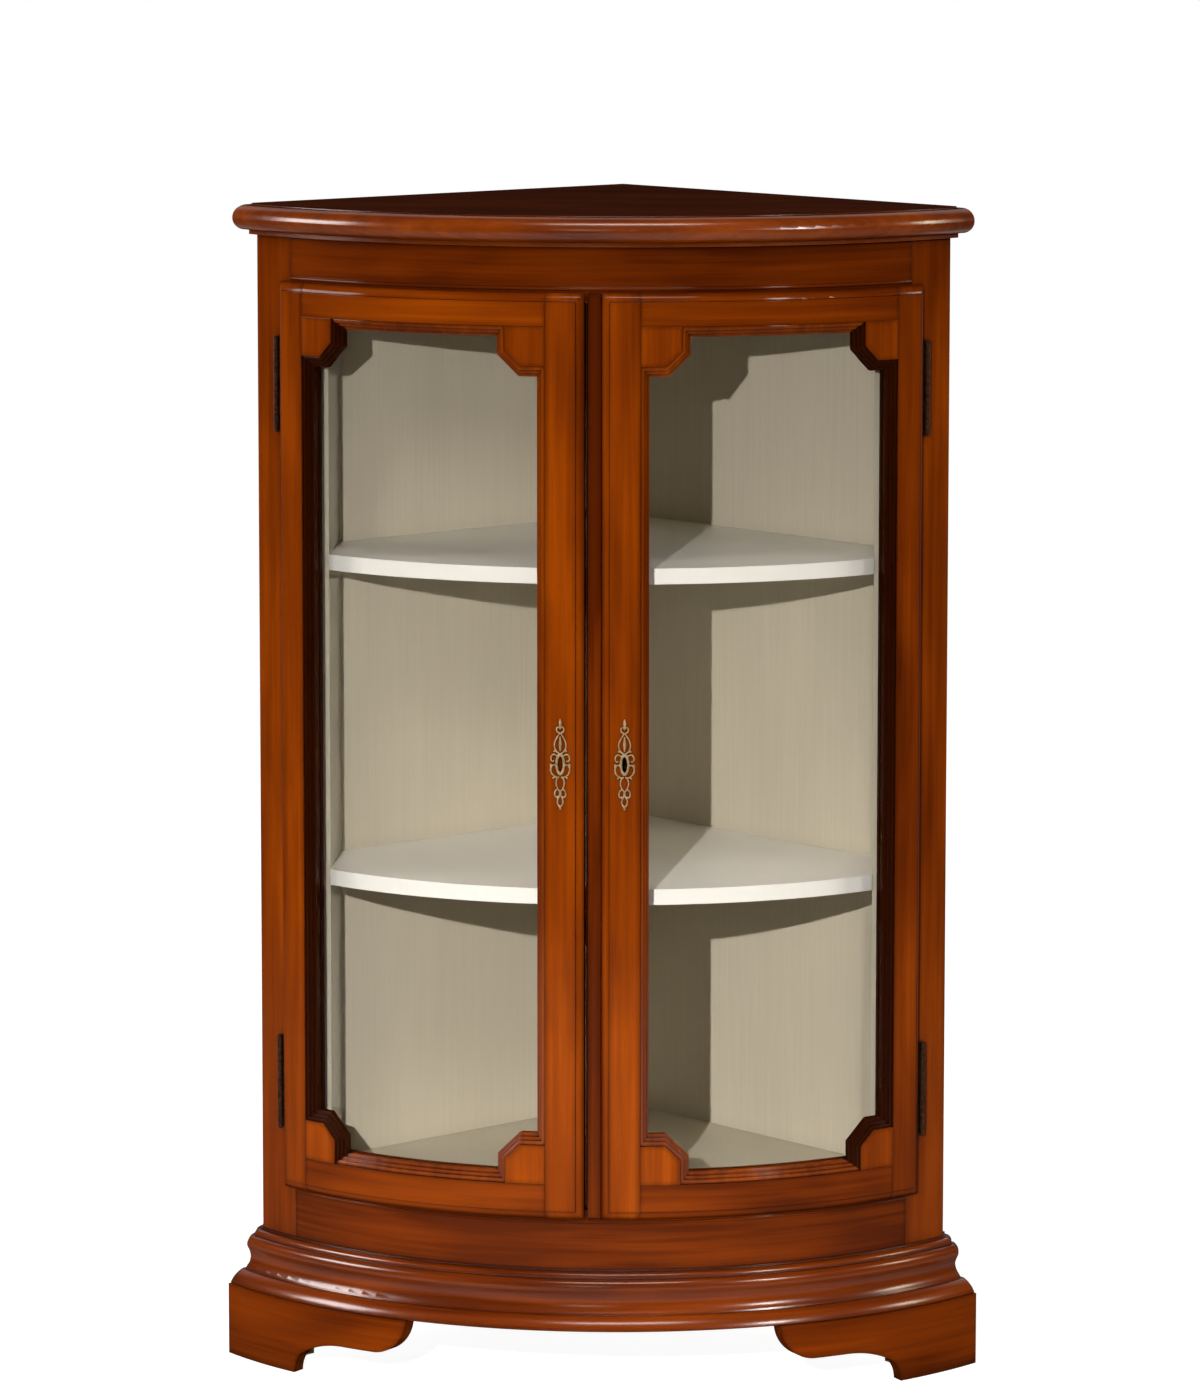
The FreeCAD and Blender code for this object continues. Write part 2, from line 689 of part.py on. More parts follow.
def hinge(level):
    """One right-hand butt hinge for a lipped door, with its knuckle outside the lip.

    Each leaf is an angle: a strap between lip and stile, and a flap let into the edge behind it.
    """
    turn = dim["hinge_angle"]
    low = dim[level + "_hinge"] - dim["hinge_height"] / 2
    high = low + dim["hinge_height"]
    thick = dim["leaf_thickness"]
    face = dim["bow_radius"]
    flap = face - dim["leaf_depth"]
    opening = (turn - dim["opening_angle"]) / degrees_per_radian * face
    door_edge = (turn - dim["door_edge_angle"]) / degrees_per_radian * face
    neck = as_size(1.5)
    strap_end = dim["knuckle_radius"] + 0.3
    plates = {
        "frame": plan_body(level + "_frame_plate", turn, low, high, [
            (neck, -face), (neck, -(face - thick)), (-(opening - thick), -(face - thick)),
            (-(opening - thick), -flap), (-opening, -flap), (-opening, -face)]),
        "door": plan_body(level + "_door_plate", turn, low, high, [
            (-strap_end, -lip_back), (-door_edge, -lip_back), (-door_edge, -flap),
            (-(door_edge + thick), -flap), (-(door_edge + thick), -(lip_back + thick)),
            (-strap_end, -(lip_back + thick))])}
    necks = {
        "frame": [(-neck, -(face - thick)), (neck, -(face - thick)), (neck, -dim["hinge_circle"]),
                  (-neck, -dim["hinge_circle"])],
        "door": [(-strap_end, -lip_back), (as_size(0), -lip_back),
                 (as_size(0), -(lip_back + thick)), (-strap_end, -(lip_back + thick))]}
    x = dim["hinge_circle"] * sin(turn)
    y = bow_y - dim["hinge_circle"] * cos(turn)
    bore = cylinder(level + "_bore", dim["pin_radius"] + dim["pin_play"], low - 1, high + 1, x, y)
    members = {"frame": [plates["frame"]], "door": [plates["door"]]}
    for index in range(5):
        owner = "door" if index % 2 else "frame"
        knuckle_low = low + dim["hinge_height"] / 5 * index + dim["knuckle_gap"] / 2
        knuckle_high = low + dim["hinge_height"] / 5 * (index + 1) - dim["knuckle_gap"] / 2
        label = "%s_knuckle_%d" % (level, index)
        members[owner].append(
            cylinder(label, dim["knuckle_radius"], knuckle_low, knuckle_high, x, y))
        members[owner].append(
            plan_body(label + "_neck", turn, knuckle_low, knuckle_high, necks[owner]))
    leaves = {}
    for owner, solids in members.items():
        label = "%s_%s_leaf" % (level, owner)
        leaves[owner] = cut(label + "_bored", group(label, solids), bore)
    cap = dim["knuckle_radius"] * 0.8
    pin = group(level + "_pin", [
        cylinder(level + "_shank", dim["pin_radius"], low, high, x, y),
        cylinder(level + "_cap_below", cap, low - 1, low, x, y),
        cylinder(level + "_cap_above", cap, high, high + 1, x, y)])
    return plates, leaves, pin


def hinges():
    """Both hinges of each door. Returns the recesses their leaves need, in the frame and the door."""
    built = [hinge(level) for level in ("lower", "upper")]
    for owner in ("frame", "door"):
        leaves = [parts[1][owner] for parts in built]
        pair("hinge_%s_leaves" % owner, group("hinge_%s_leaves" % owner, leaves))
    pair("hinge_pins", group("hinge_pins", [parts[2] for parts in built]))
    return [group("%s_recesses" % owner, [parts[0][owner] for parts in built])
            for owner in ("frame", "door")]


# ---------------------------------------------------------------- keyhole plates, lock and bolts

def oval(middle, half, low, high):
    """A slot with round ends, as a front outline."""
    return [(middle - half, low + half), (middle, low, half), (middle + half, low + half, half),
            (middle + half, high - half), (middle, high, half), (middle - half, high - half, half)]


def disc(across, up, radius):
    """A circle of four arcs, as a front outline."""
    return [(across, up - radius, radius), (across + radius, up, radius),
            (across, up + radius, radius), (across - radius, up, radius)]


def keyhole(name, side, near):
    """A keyhole cut straight back from the front, to a distance from the bow axis."""
    low = dim["lock_height"] - dim["keyhole_height"] / 2
    return front_body(name, 0, near, 520, oval(
        dim["keyhole_offset"] * side, dim["keyhole_width"] / 2, low, low + dim["keyhole_height"]))


def keyhole_plate():
    """Pierced brass plate with scrolled edges, alike on both sides of its own middle line."""
    turn = dim["keyhole_offset"] / door_face * degrees_per_radian
    unit = dim["plate_height"] / 94
    middle = dim["lock_height"]
    # Right-hand edge from the top down: across, up, and the radius of the arc from the last point.
    edge = [(0, 47, -9), (3.2, 40, -9), (1.8, 36, 4), (6.2, 32.5, -4.2), (8.6, 25, -5.5),
            (4.8, 20, -5), (6.2, 15.5, 4), (10.4, 8, -8), (8.6, 0, 14), (10.4, -8, 14),
            (6.2, -15.5, -8), (4.8, -20, 4), (8.0, -24.5, -5), (5.4, -30.5, -5.5), (1.8, -35, -5),
            (3.0, -40, 4), (0, -47, -9)]
    outline = [(unit * across, middle + unit * up, unit * radius) for across, up, radius in edge]
    for index in range(len(edge) - 2, 0, -1):
        across, up = edge[index][:2]
        outline.append((unit * -across, middle + unit * up, unit * edge[index + 1][2]))
    plate = front_body("plate_blank", turn, door_face, door_face + dim["plate_thickness"], outline)
    holes = [keyhole("plate_keyhole", 1, 460)]
    for across, up, radius in ((4.4, 26, 1.7), (3.9, -25.5, 1.7)):
        for mirror in (-1, 1):
            angle = turn + unit * (across * mirror) / door_face * degrees_per_radian
            z = middle + unit * up
            holes.append(front_body("pierced_%d" % len(holes), angle, 460, 520, oval(
                as_size(0), unit * radius, z - unit * (radius + 1.2), z + unit * (radius + 1.2))))
    pair("escutcheon", cut("plate", plate, group("plate_holes", holes)))


def lock():
    """Surface lock behind the right meeting stile. Its bolt shoots behind the left stile."""
    z = dim["lock_height"]
    half = dim["case_height"] / 2
    left = -dim["case_left"]
    right = dim["case_right"]
    rear = door_back - dim["case_depth"]
    drum = cylinder("lock_drum", door_back, as_size(-10), everything)
    case = common("lock_case_fitted", front_body("lock_case_block", 0, rear, door_face, [
        (left, z - half), (right, z - half), (right, z + half), (left, z + half)]), drum)
    bolt_front = door_back - dim["lock_bolt_cover"]
    bolt_rear = bolt_front - dim["lock_bolt_thickness"]
    bolt_half = dim["lock_bolt_height"] / 2
    play = dim["lock_bolt_play"]
    tail = dim["lock_bolt_length"]
    channel = front_body("lock_channel", 0, bolt_rear - play, bolt_front + play, [
        (left - 1, z - bolt_half - play), (tail, z - bolt_half - play),
        (tail, z + bolt_half + play), (left - 1, z + bolt_half + play)])
    key_way = keyhole("lock_keyhole", 1, door_back - 11)
    node("lock_case", cut("lock_case_open", case, group("lock_hollows", [channel, key_way])))
    node("lock_bolt", front_body("bolt_bar", 0, bolt_rear, bolt_front, [
        (left + 0.5, z - bolt_half), (tail - 1, z - bolt_half),
        (tail - 1, z + bolt_half), (left + 0.5, z + bolt_half)]))
    strike = front_body("strike_block", -dim["meeting_angle"], door_back - 1.5, door_face, [
        (as_size(-17), z - half * 0.7), (as_size(-0.3), z - half * 0.7),
        (as_size(-0.3), z + half * 0.7), (as_size(-17), z + half * 0.7)])
    node("strike_plate", common("strike_fitted", strike, drum))


def door_bolts():
    """Two surface bolts that hold the left door: one shoots up, the other down."""
    x = -dim["bolt_offset"]
    y = bow_y - dim["rod_circle"]
    half = dim["bolt_plate_width"] / 2
    drum = cylinder("bolt_drum", door_back, as_size(-10), everything)
    bore_radius = dim["rod_radius"] + 0.1
    ends = {"upper": dim["opening_top"] - dim["rod_rest_gap"],
            "lower": dim["opening_bottom"] + dim["rod_rest_gap"]}
    for name, way in (("upper", 1), ("lower", -1)):
        tip = ends[name]
        heel = tip - dim["rod_length"] * way
        plate_near = tip - 4 * way
        plate_far = plate_near - dim["bolt_plate_length"] * way
        low, high = (heel, tip) if way > 0 else (tip, heel)
        plate_low, plate_high = (plate_far, plate_near) if way > 0 else (plate_near, plate_far)
        rear = dim["rod_circle"] + dim["rod_radius"] + 1.5
        plate = front_body(name + "_bolt_back", 0, rear, door_face, [
            (x - half, plate_low), (x + half, plate_low), (x + half, plate_high),
            (x - half, plate_high)])
        guides = []
        for place, start in (("low", plate_low), ("high", plate_high - dim["guide_length"])):
            guides.append(front_body(
                "%s_bolt_guide_%s" % (name, place), 0, dim["rod_circle"] - dim["rod_radius"] - 2, rear,
                [(x - half + 2, start), (x + half - 2, start),
                 (x + half - 2, start + dim["guide_length"]),
                 (x - half + 2, start + dim["guide_length"])]))
        fitted = common(name + "_bolt_fitted", plate, drum)
        bore = cylinder(name + "_bolt_bore", bore_radius, low - 20, high + 20, x, y)
        node(name + "_bolt_plate", cut(
            name + "_bolt_bored", group(name + "_bolt_body", [fitted] + guides), bore))
        rod = cylinder(name + "_rod", dim["rod_radius"], low, high, x, y)
        knob = front_body(
            name + "_knob", 0, dim["rod_circle"] - dim["knob_length"], dim["rod_circle"],
            disc(x, (plate_low + plate_high) / 2, dim["knob_radius"]))
        node(name + "_bolt_rod", group(name + "_bolt", [rod, knob]))
    low = dim["opening_top"] + 3
    clear = dim["rod_radius"] + 0.6
    wing = clear + 5.4
    throat = dim["rod_circle"] - clear
    staple = front_body("staple_block", 0, throat - 2.8, inner_radius + 5, [
        (x - wing, low), (x + wing, low), (x + wing, low + 8), (x - wing, low + 8)])
    slot = front_body("staple_slot", 0, throat, inner_radius + 10, [
        (x - clear, low - 1), (x + clear, low - 1), (x + clear, low + 9), (x - clear, low + 9)])
    node("upper_bolt_keeper", cut("staple", common("staple_fitted", staple, inner_drum), slot))


# ---------------------------------------------------------------- assembly

frame_recess, door_recess = hinges()
top_board()
front_frame(frame_recess)
levels()
back_panels()
side_linings()
base_moulding()
feet()
section = door_section()
door_frame(door_blank(section), door_recess)
corner_blocks()
glazing()
meeting_bead(section)
keyhole_plate()
lock()
door_bolts()
doc.recompute()

for item in doc.Objects:
    if "Invalid" in item.State or "Error" in item.State:
        raise RuntimeError("%s failed: %s" % (item.Label, item.State))
os.makedirs("parts", exist_ok=True)
for node_name, item in nodes.items():
    if item.Shape.isNull() or not item.Shape.isValid() or not item.Shape.Solids:
        raise RuntimeError("%s has no valid solid" % node_name)
    item.Shape.exportStep("parts/%s.step" % node_name)
print("%d nodes, %d solids" % (len(nodes), sum(len(item.Shape.Solids) for item in nodes.values())))
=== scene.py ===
"""Looks for the corner curio cabinet: camera, light, finishes and the small detail pieces.

Metres, in the CAD frame: +Z up, the bowed front faces -Y, the two back walls meet on the +Y side.
"""
import math

import bmesh
import bpy
from mathutils import Matrix, Vector


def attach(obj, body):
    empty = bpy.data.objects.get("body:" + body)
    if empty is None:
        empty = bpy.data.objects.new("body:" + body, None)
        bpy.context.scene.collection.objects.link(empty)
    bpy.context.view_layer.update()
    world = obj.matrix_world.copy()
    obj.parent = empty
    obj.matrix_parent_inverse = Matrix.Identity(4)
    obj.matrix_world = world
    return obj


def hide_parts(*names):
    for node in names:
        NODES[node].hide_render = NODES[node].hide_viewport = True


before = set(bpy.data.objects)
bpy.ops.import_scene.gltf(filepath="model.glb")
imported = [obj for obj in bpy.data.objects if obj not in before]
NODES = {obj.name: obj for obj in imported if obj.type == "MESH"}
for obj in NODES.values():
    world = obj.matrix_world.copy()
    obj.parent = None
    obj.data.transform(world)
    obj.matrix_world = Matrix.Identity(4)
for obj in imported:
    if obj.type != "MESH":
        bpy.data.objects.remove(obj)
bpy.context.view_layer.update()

UP = Vector((0, 0, 1))
MIDDLE = (0, 0, 0.65)     # what the lamps are aimed at

# The cabinet's own sizes, in metres, with angles in degrees round the bow from the middle.
BOW_Y = 0.2065            # the upright axis that every bowed member is turned about
BOW_RADIUS = 0.461
WALL_APEX = 0.2875        # where the two back walls meet
BACK_BOARD = 0.012
SASH_MIDDLE = 0.65475     # the opening inside the glazing moulding: its middle height,
SASH_HALF = 0.42425       # half its height,
MOULDING_WIDTH = 0.011    # the width of the moulding round it,
NOTCH_MITRE = (33.3, 35.0)    # and where a notch starts, inside and outside the moulding
HINGE_ANGLE = 45.7        # the hinge pins
FRAME_EDGE = 43.2         # the edge that the leaves on the case lie on
DOOR_EDGE = 43.0          # the edge that the leaves on a door lie on
HINGE_RADIUS = 0.4525     # the middle of the leaves
HINGE_HEIGHTS = (0.293, 1.018)
MEETING_ANGLE = -1.04     # the meeting edge of the left door
LOCK_HEIGHT = 0.650
KEYHOLE_ACROSS = 0.0323   # from the middle to each keyhole, on the doors' face
DOOR_FACE = 0.470
PLATE_BED = 0.47005       # where the back of a keyhole plate lies

# Colours of the wood.
CHERRY_TONES = [(0.30, (0.088, 0.0130, 0.0008)), (0.44, (0.168, 0.0265, 0.0010)),
                (0.56, (0.235, 0.0395, 0.0011)), (0.70, (0.335, 0.0600, 0.0015))]
CHERRY_PORES = (0.05, 0.007, 0.001, 1)
# The dark colour of the antiquing, also used for painted shade in recesses, at the moulding's
# hinge ends and on the top face.
GLAZE_AND_PAINTED_SHADE = (0.010, 0.0020, 0.0006, 1)
PALE_TONES = [(0.34, (0.30, 0.165, 0.068)), (0.50, (0.46, 0.29, 0.135)),
              (0.66, (0.58, 0.40, 0.21))]
PALE_PORES = (0.2, 0.1, 0.04, 1)
GREIGE = (0.56, 0.51, 0.40)
SHELF_WHITE = (0.89, 0.875, 0.82)

# How far apart in the wood two boards can lie, and the radius at which grain is measured round it.
BOARD_SPREAD = 37.0
GRAIN_RADIUS = 0.46


# ---------------------------------------------------------------- camera, light and floor

def make_camera():
    """The photograph's viewpoint: right of the middle, above the top, looking slightly down."""
    place = Vector((0.3574, -6.2238, 1.5833))
    yaw, pitch, roll = 0.046921, -0.121076, 0.002024
    forward = Vector((
        -math.sin(yaw) * math.cos(pitch), math.cos(yaw) * math.cos(pitch), math.sin(pitch)))
    level = Vector((math.cos(yaw), math.sin(yaw), 0))
    upright = level.cross(forward)
    right = level * math.cos(roll) + upright * math.sin(roll)
    up = upright * math.cos(roll) - level * math.sin(roll)
    data = bpy.data.cameras.new("camera")
    data.lens = 154.929
    data.sensor_width = 36
    data.shift_x, data.shift_y = -0.05, -0.10
    data.clip_end = 200
    camera = bpy.data.objects.new("camera", data)
    bpy.context.scene.collection.objects.link(camera)
    axes = Matrix((right, up, -forward)).transposed().to_4x4()
    camera.matrix_world = Matrix.Translation(place) @ axes
    bpy.context.scene.camera = camera


def make_lamp(name, place, size, power, colour=(1, 1, 1), target=MIDDLE, spread=180,
              mirrored=True):
    """A rectangular soft lamp, aimed at the target. Gloss shows it only if mirrored."""
    data = bpy.data.lights.new(name, "AREA")
    data.shape = "RECTANGLE"
    data.size, data.size_y = size
    data.energy = power
    data.color = colour
    data.spread = math.radians(spread)
    lamp = bpy.data.objects.new(name, data)
    lamp.location = place
    lamp.rotation_euler = (Vector(target) - Vector(place)).to_track_quat("-Z", "Y").to_euler()
    lamp.visible_glossy = mirrored
    bpy.context.scene.collection.objects.link(lamp)


def around(azimuth, elevation, distance):
    """A place round the cabinet: azimuth 0 is in front of it and positive is to its right."""
    a, e = math.radians(azimuth), math.radians(elevation)
    return Vector(MIDDLE) + distance * Vector(
        (math.sin(a) * math.cos(e), -math.cos(a) * math.cos(e), math.sin(e)))


def shows_background(graph, behind):
    """1 for the rays that see the white background, and 0 for the others.

    Camera rays and transmission rays see it everywhere. Glossy rays see it only where the backdrop
    is, at a high share of the way +Y. The studio on the camera's side is dark.
    """
    path = graph.add("ShaderNodeLightPath")
    seen = graph.math("MULTIPLY", path.outputs["Is Glossy Ray"], graph.remap(behind, 0.5, 0.75))
    for kind in ("Is Camera Ray", "Is Transmission Ray"):
        seen = graph.math("MAXIMUM", seen, path.outputs[kind])
    return seen


def make_light():
    """A small key lamp for crisp shadows, softboxes round it, and a dim world."""
    key = Vector((-0.40, -4.4, 1.66))
    make_lamp("key", key, (0.03, 0.03), 17.5, (1, 0.97, 0.93), target=(0, 0, -0.2), spread=50,
              mirrored=False)
    make_lamp("key_umbrella", key, (0.6, 0.6), 3, (1, 0.9, 0.8))
    make_lamp("left_softbox", around(-77, 21, 2.6), (0.9, 0.8), 21, (1, 0.93, 0.90))
    make_lamp("front_softbox", around(6, 60, 3.0), (1.3, 0.4), 15, (1, 0.90, 0.84))
    make_lamp("right_softbox", around(45, 24, 3.0), (0.25, 0.4), 12, (1, 0.93, 0.86))
    make_lamp("far_right_softbox", around(85, 20, 2.8), (0.3, 0.5), 6, (1, 0.9, 0.7))
    make_lamp("back_softbox", around(180, 22, 4.0), (2.0, 0.8), 34)
    world = bpy.data.worlds.new("studio")
    world.use_nodes = True
    bpy.context.scene.world = world
    graph = Graph(world.node_tree)
    towards = graph.add("ShaderNodeSeparateXYZ")
    graph.link(graph.add("ShaderNodeTexCoord").outputs["Generated"], towards.inputs[0])
    seen = shows_background(graph, towards.outputs[1])
    background = graph.add("ShaderNodeBackground")
    graph.link(graph.mix(seen, (0.018, 0.018, 0.019, 1), (1, 1, 1, 1)), background.inputs["Color"])
    output = graph.add("ShaderNodeOutputWorld")
    graph.link(background.outputs[0], output.inputs["Surface"])


def make_floor():
    """A plain pale floor that shows white, and still takes the cabinet's shadow."""
    mesh = bpy.data.meshes.new("floor")
    bm = bmesh.new()
    bmesh.ops.create_circle(bm, cap_ends=True, radius=70, segments=64)
    bm.to_mesh(mesh)
    bm.free()
    floor = bpy.data.objects.new("floor", mesh)
    floor.location.z = -0.0005
    bpy.context.scene.collection.objects.link(floor)
    material = bpy.data.materials.new("floor")
    material.use_nodes = True
    graph = Graph(material.node_tree)
    place = graph.add("ShaderNodeTexCoord").outputs["Object"]
    split = graph.add("ShaderNodeSeparateXYZ")
    graph.link(place, split.inputs[0])
    length = graph.add("ShaderNodeVectorMath", operation="LENGTH")
    graph.link(place, length.inputs[0])
    away = length.outputs["Value"]
    seen = shows_background(graph, graph.math("DIVIDE", split.outputs[1], away))
    diffuse = graph.add("ShaderNodeBsdfDiffuse")
    diffuse.inputs["Color"].default_value = (0.3, 0.3, 0.3, 1)
    glow = graph.add("ShaderNodeEmission")
    strength = graph.remap(away, 0.8, 2.2, 0.95, 1.0)
    graph.link(graph.math("MULTIPLY", seen, strength), glow.inputs["Strength"])
    both = graph.add("ShaderNodeAddShader")
    graph.link(diffuse.outputs[0], both.inputs[0])
    graph.link(glow.outputs[0], both.inputs[1])
    output = graph.add("ShaderNodeOutputMaterial")
    graph.link(both.outputs[0], output.inputs["Surface"])
    mesh.materials.append(material)


# ---------------------------------------------------------------- node graphs

class Graph:
    """Short ways to add nodes to a node tree and join them."""

    def __init__(self, tree):
        self.tree = tree
        tree.nodes.clear()

    def add(self, kind, **settings):
        node = self.tree.nodes.new(kind)
        for name, value in settings.items():
            setattr(node, name, value)
        return node

    def link(self, source, socket):
        self.tree.links.new(source, socket)

    def feed(self, socket, value):
        """Joins a socket to the value, or sets it where the value is a constant."""
        if isinstance(value, bpy.types.NodeSocket):
            self.link(value, socket)
        else:
            socket.default_value = value

    def math(self, operation, first, second=0.0, third=0.0):
        node = self.add("ShaderNodeMath", operation=operation)
        for socket, value in zip(node.inputs, (first, second, third)):
            self.feed(socket, value)
        return node.outputs[0]

    def blend(self, first, first_share, second, second_share):
        """The sum of the shares of two values."""
        return self.math("ADD", self.math("MULTIPLY", first, first_share),
                         self.math("MULTIPLY", second, second_share))

    def mix(self, factor, first, second):
        """The first colour at 0 and the second at 1."""
        node = self.add("ShaderNodeMix", data_type="RGBA")
        self.feed(node.inputs[0], factor)
        self.feed(node.inputs[6], first)
        self.feed(node.inputs[7], second)
        return node.outputs[2]

    def remap(self, value, low, high, to_low=0.0, to_high=1.0, smooth=False):
        node = self.add("ShaderNodeMapRange", clamp=True)
        if smooth:
            node.interpolation_type = "SMOOTHSTEP"
        for socket, setting in zip(node.inputs, (value, low, high, to_low, to_high)):
            self.feed(socket, setting)
        return node.outputs[0]

    def ramp(self, value, stops):
        """Colours at places along 0 to 1."""
        node = self.add("ShaderNodeValToRGB")
        elements = node.color_ramp.elements
        while len(elements) < len(stops):
            elements.new(0.5)
        for element, (place, colour) in zip(elements, stops):
            element.position = place
            element.color = tuple(colour) + (1,)
        self.feed(node.inputs[0], value)
        return node.outputs[0]

    def point(self, x, y, z):
        node = self.add("ShaderNodeCombineXYZ")
        for socket, value in zip(node.inputs, (x, y, z)):
            self.feed(socket, value)
        return node.outputs[0]

    def noise(self, place, scale=1.0, detail=3.0, roughness=0.5, distortion=0.0):
        node = self.add("ShaderNodeTexNoise")
        self.link(place, node.inputs["Vector"])
        node.inputs["Scale"].default_value = scale
        node.inputs["Detail"].default_value = detail
        node.inputs["Roughness"].default_value = roughness
        node.inputs["Distortion"].default_value = distortion
        return node.outputs[0]

    def bump(self, height, distance, strength=1.0, normal=None):
        node = self.add("ShaderNodeBump")
        node.inputs["Distance"].default_value = distance
        node.inputs["Strength"].default_value = strength
        self.link(height, node.inputs["Height"])
        if normal is not None:
            self.link(normal, node.inputs["Normal"])
        return node.outputs[0]

    def hollow(self, distance):
        """1 in the open and towards 0 in a recess narrower than the distance."""
        node = self.add("ShaderNodeAmbientOcclusion", samples=6)
        node.inputs["Distance"].default_value = distance
        return node.outputs["AO"]

    def surface(self, **inputs):
        """The one shader of a material. Names take _ for a space."""
        shader = self.add("ShaderNodeBsdfPrincipled")
        for name, value in inputs.items():
            self.feed(shader.inputs[name.replace("_", " ")], value)
        output = self.add("ShaderNodeOutputMaterial")
        self.link(shader.outputs[0], output.inputs["Surface"])


def new_material(name):
    """A material and the graph of its nodes."""
    material = bpy.data.materials.new(name)
    material.use_nodes = True
    return material, Graph(material.node_tree)


def object_point(graph):
    """The point on the object, split, in the CAD frame at rest."""
    place = graph.add("ShaderNodeTexCoord").outputs["Object"]
    split = graph.add("ShaderNodeSeparateXYZ")
    graph.link(place, split.inputs[0])
    return split.outputs[0], split.outputs[1], split.outputs[2]


def board_point(graph, grain):
    """Coordinates of a board: along its grain, across its face, and into it.

    The grain runs "upright", "level" from left to right, or "bowed" round the bow axis. Each
    node is its own board, so each is shifted to its own place in the wood.
    """
    x, y, z = object_point(graph)
    board = graph.math(
        "MULTIPLY", graph.add("ShaderNodeObjectInfo").outputs["Random"], BOARD_SPREAD)
    if grain == "upright":
        return graph.math("ADD", z, board), graph.math("ADD", x, board), y
    if grain == "level":
        return graph.math("ADD", x, board), graph.math("ADD", y, board), z
    back = graph.math("SUBTRACT", BOW_Y, y)
    angle = graph.math("ARCTAN2", x, back)
    radius = graph.math("SQRT", graph.math("ADD", graph.math("MULTIPLY", x, x),
                                           graph.math("MULTIPLY", back, back)))
    along = graph.math("MULTIPLY", angle, GRAIN_RADIUS)
    return graph.math("ADD", along, board), graph.math("ADD", z, board), radius


def stretched(graph, parts, along, across, deep):
    """Board coordinates scaled to features of the given sizes, in metres."""
    return graph.point(graph.math("DIVIDE", parts[0], along),
                       graph.math("DIVIDE", parts[1], across),
                       graph.math("DIVIDE", parts[2], deep))


# ---------------------------------------------------------------- finishes

def lacquer_gloss(graph):
    """A thin rubbed lacquer: full gloss face on, and little of the glare at a flat angle."""
    facing = graph.add("ShaderNodeLayerWeight").outputs["Facing"]
    return graph.remap(facing, 0.30, 0.90, 0.50, 0.004, smooth=True)


def near_edge(graph, bevel_normal, full_at, amount):
    """Rises to the amount at an edge, as the rounded normal leaves the face's own.

    It is full where the cosine between the two has come down to full_at.
    """
    turned = graph.add("ShaderNodeVectorMath", operation="DOT_PRODUCT")
    graph.link(bevel_normal, turned.inputs[0])
    graph.link(graph.add("ShaderNodeNewGeometry").outputs["Normal"], turned.inputs[1])
    return graph.remap(turned.outputs["Value"], 0.995, full_at, 0.0, amount)


